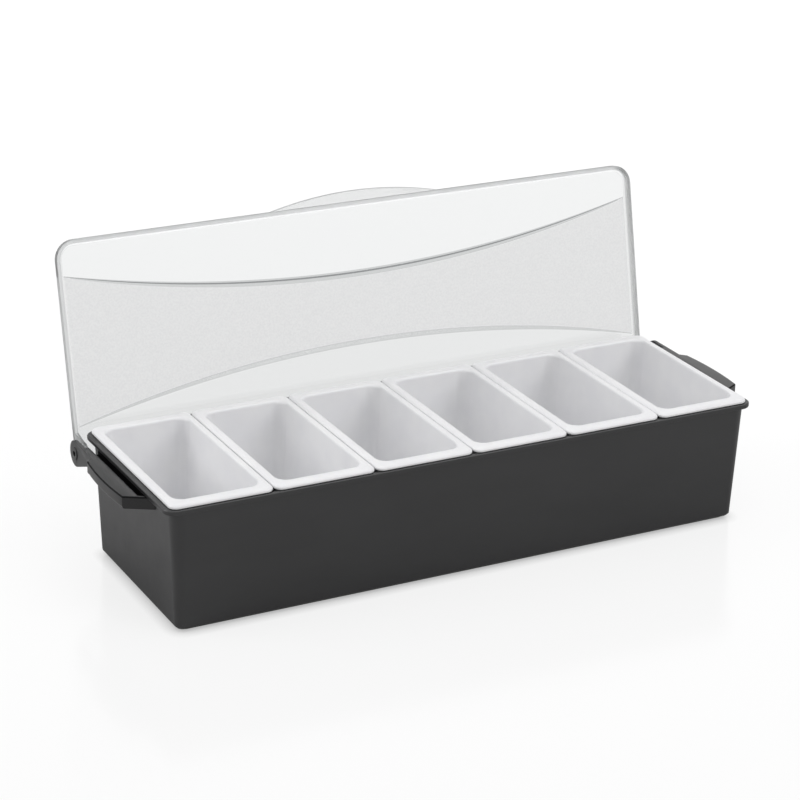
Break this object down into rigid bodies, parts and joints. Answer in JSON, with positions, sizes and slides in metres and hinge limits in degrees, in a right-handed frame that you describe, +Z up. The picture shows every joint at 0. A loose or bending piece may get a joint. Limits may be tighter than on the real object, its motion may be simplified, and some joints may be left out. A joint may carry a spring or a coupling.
{
  "type": "condiment caddy",
  "caption": "Long counter-top condiment caddy: a black tray with ledge handles, a row of lift-out white inserts, and a hinged clear lid that leans back when open.",
  "frame": {"origin": "middle of the tray's footprint, on the surface the caddy stands on", "axes": "+X along the tray to the right end, +Y to the hinge side at the rear, +Z up"},
  "size_m": [0.4968, 0.1972, 0.2286],
  "materials": {
    "black_plastic": "black moulded plastic with a satin skin",
    "pin_plastic": "black moulded plastic",
    "clear_plastic": "clear moulded plastic, polished, with a fine frosted band on its inner face",
    "white_plastic": "white moulded plastic, smooth"
  },
  "bodies": {
    "base": {"tray": "black_plastic", "end_bracket_left": "black_plastic", "end_bracket_right": "black_plastic", "hinge_pin_left": "pin_plastic", "hinge_pin_right": "pin_plastic"},
    "lid": {"lid": "clear_plastic"},
    "insert_1": {"insert_1": "white_plastic"},
    "insert_2": {"insert_2": "white_plastic"},
    "insert_3": {"insert_3": "white_plastic"},
    "insert_4": {"insert_4": "white_plastic"},
    "insert_5": {"insert_5": "white_plastic"},
    "insert_6": {"insert_6": "white_plastic"}
  },
  "joints": [
    {"name": "lid_hinge", "type": "hinge", "parent": "base", "child": "lid", "pos_m": [0, 0.0691, 0.0802], "axis": [-1, 0, 0], "range_deg": [-102.6, 0]},
    {"name": "insert_1_lift", "type": "slide", "parent": "base", "child": "insert_1", "axis": [0, 0, 1], "range_m": [0, 0.09]},
    {"name": "insert_2_lift", "type": "slide", "parent": "base", "child": "insert_2", "axis": [0, 0, 1], "range_m": [0, 0.09]},
    {"name": "insert_3_lift", "type": "slide", "parent": "base", "child": "insert_3", "axis": [0, 0, 1], "range_m": [0, 0.09]},
    {"name": "insert_4_lift", "type": "slide", "parent": "base", "child": "insert_4", "axis": [0, 0, 1], "range_m": [0, 0.09]},
    {"name": "insert_5_lift", "type": "slide", "parent": "base", "child": "insert_5", "axis": [0, 0, 1], "range_m": [0, 0.09]},
    {"name": "insert_6_lift", "type": "slide", "parent": "base", "child": "insert_6", "axis": [0, 0, 1], "range_m": [0, 0.09]}
  ]
}
